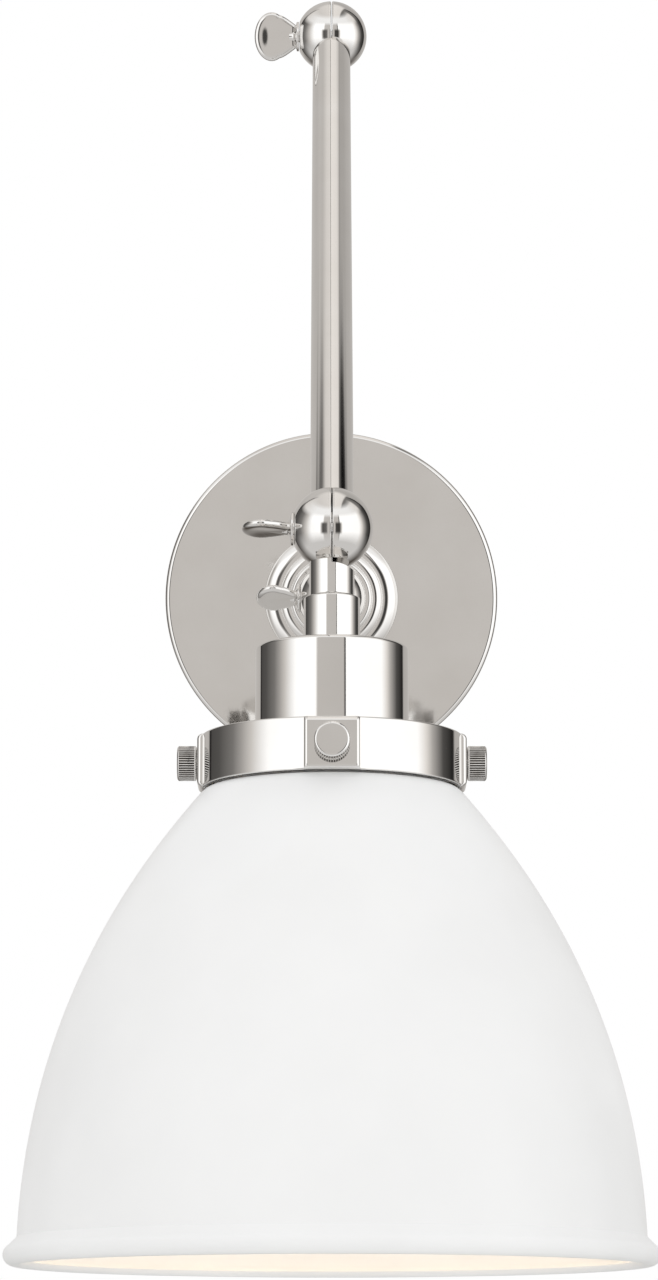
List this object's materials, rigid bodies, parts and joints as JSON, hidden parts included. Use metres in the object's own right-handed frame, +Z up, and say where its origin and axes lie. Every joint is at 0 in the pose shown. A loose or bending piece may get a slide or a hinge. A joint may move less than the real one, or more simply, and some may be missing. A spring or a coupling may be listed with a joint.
{
  "type": "swing arm wall sconce",
  "caption": "Wall lamp with a round canopy, jointed swing arms with ball knuckles and wing screws, and a swivelling dome shade held by thumb screws.",
  "frame": {"origin": "centre of the wall face, at the back of the mounting strap", "axes": "+Y into the wall, the lamp reaches out along -Y; +Z up; X along the knuckle hinges"},
  "size_m": [0.217, 0.497, 0.484],
  "materials": {
    "polished_nickel": "polished nickel plate, warm mirror finish",
    "zinc_plate": "zinc plated steel, dull",
    "brass": "plain turned brass",
    "green_screw": "green dyed steel screw",
    "wire_nut_plastic": "moulded orange plastic",
    "black_insulation": "black wire insulation",
    "white_insulation": "white wire insulation",
    "porcelain": "glazed porcelain, off white",
    "white_paint": "satin white powder coat outside and inside",
    "frosted_glass": "frosted bulb glass, lit warm white",
    "fibre": "pressed fibre friction disc"
  },
  "bodies": {
    "canopy_set": {"mounting_strap": "zinc_plate", "canopy": "polished_nickel", "canopy_set_screw_left": "polished_nickel", "canopy_set_screw_right": "polished_nickel", "ground_screw": "green_screw", "wire_nut_line": "wire_nut_plastic", "wire_nut_neutral": "wire_nut_plastic", "supply_lead_line": "black_insulation", "supply_lead_neutral": "white_insulation"},
    "hub_set": {"hub": "polished_nickel", "hub_nut": "brass", "hub_washer": "zinc_plate", "hub_knuckle": "polished_nickel", "base_friction_disc": "fibre", "base_threaded_insert": "brass"},
    "rear_arm": {"rear_arm_lower_knuckle": "polished_nickel", "rear_arm_tube": "polished_nickel", "rear_arm_lead": "black_insulation", "rear_arm_upper_knuckle": "polished_nickel"},
    "front_arm": {"front_arm_upper_knuckle": "polished_nickel", "front_arm_tube": "polished_nickel", "front_arm_lead": "black_insulation", "front_arm_lower_knuckle": "polished_nickel", "middle_friction_disc": "fibre", "middle_threaded_insert": "brass", "head_friction_disc": "fibre", "head_threaded_insert": "brass"},
    "neck_set": {"neck": "polished_nickel", "neck_nut": "brass"},
    "head_set": {"swivel_sleeve": "polished_nickel", "socket_cup": "polished_nickel", "lamp_socket": "porcelain", "socket_ring": "porcelain", "screw_shell": "brass", "centre_contact": "brass", "shade_fitter": "polished_nickel", "shade": "white_paint", "bulb_base": "zinc_plate", "bulb": "frosted_glass"},
    "base_wing": {"base_wing_screw": "polished_nickel"},
    "middle_wing": {"middle_wing_screw": "polished_nickel"},
    "head_wing": {"head_wing_screw": "polished_nickel"},
    "thumb_right": {"thumb_screw_right": "polished_nickel"},
    "thumb_front": {"thumb_screw_front": "polished_nickel"},
    "thumb_left": {"thumb_screw_left": "polished_nickel"},
    "thumb_rear": {"thumb_screw_rear": "polished_nickel"}
  },
  "joints": [
    {"name": "hub_swivel", "type": "hinge", "parent": "canopy_set", "child": "hub_set", "pos_m": [0, -0.032, 0], "axis": [0, -1, 0], "range_deg": [-90, 90]},
    {"name": "base_knuckle", "type": "hinge", "parent": "hub_set", "child": "rear_arm", "pos_m": [0, -0.05, 0], "axis": [1, 0, 0], "range_deg": [-18, 80]},
    {"name": "middle_knuckle", "type": "hinge", "parent": "rear_arm", "child": "front_arm", "pos_m": [0, -0.08985, 0.22601], "axis": [-1, 0, 0], "range_deg": [-1, 135]},
    {"name": "head_knuckle", "type": "hinge", "parent": "front_arm", "child": "neck_set", "pos_m": [0, -0.34434, 0.02067], "axis": [1, 0, 0], "range_deg": [-150, 70]},
    {"name": "head_swivel", "type": "hinge", "parent": "neck_set", "child": "head_set", "pos_m": [0, -0.35956, -0.05914], "axis": [0, -0.1874, -0.9823], "range_deg": [-160, 160]},
    {"name": "base_wing_turn", "type": "hinge", "parent": "hub_set", "child": "base_wing", "pos_m": [0, -0.05, 0], "axis": [-1, 0, 0], "range_deg": [0, 360]},
    {"name": "middle_wing_turn", "type": "hinge", "parent": "front_arm", "child": "middle_wing", "pos_m": [0, -0.08985, 0.22601], "axis": [-1, 0, 0], "range_deg": [0, 360]},
    {"name": "head_wing_turn", "type": "hinge", "parent": "front_arm", "child": "head_wing", "pos_m": [0, -0.34434, 0.02067], "axis": [-1, 0, 0], "range_deg": [0, 360]},
    {"name": "thumb_right_turn", "type": "hinge", "parent": "head_set", "child": "thumb_right", "pos_m": [0.048, -0.35956, -0.05914], "axis": [1, 0, 0], "range_deg": [0, 360]},
    {"name": "thumb_front_turn", "type": "hinge", "parent": "head_set", "child": "thumb_front", "pos_m": [0, -0.40671, -0.05015], "axis": [0, -0.9823, 0.1874], "range_deg": [0, 360]},
    {"name": "thumb_left_turn", "type": "hinge", "parent": "head_set", "child": "thumb_left", "pos_m": [-0.048, -0.35956, -0.05914], "axis": [-1, 0, 0], "range_deg": [0, 360]},
    {"name": "thumb_rear_turn", "type": "hinge", "parent": "head_set", "child": "thumb_rear", "pos_m": [0, -0.31241, -0.06814], "axis": [0, 0.9823, -0.1874], "range_deg": [0, 360]}
  ]
}
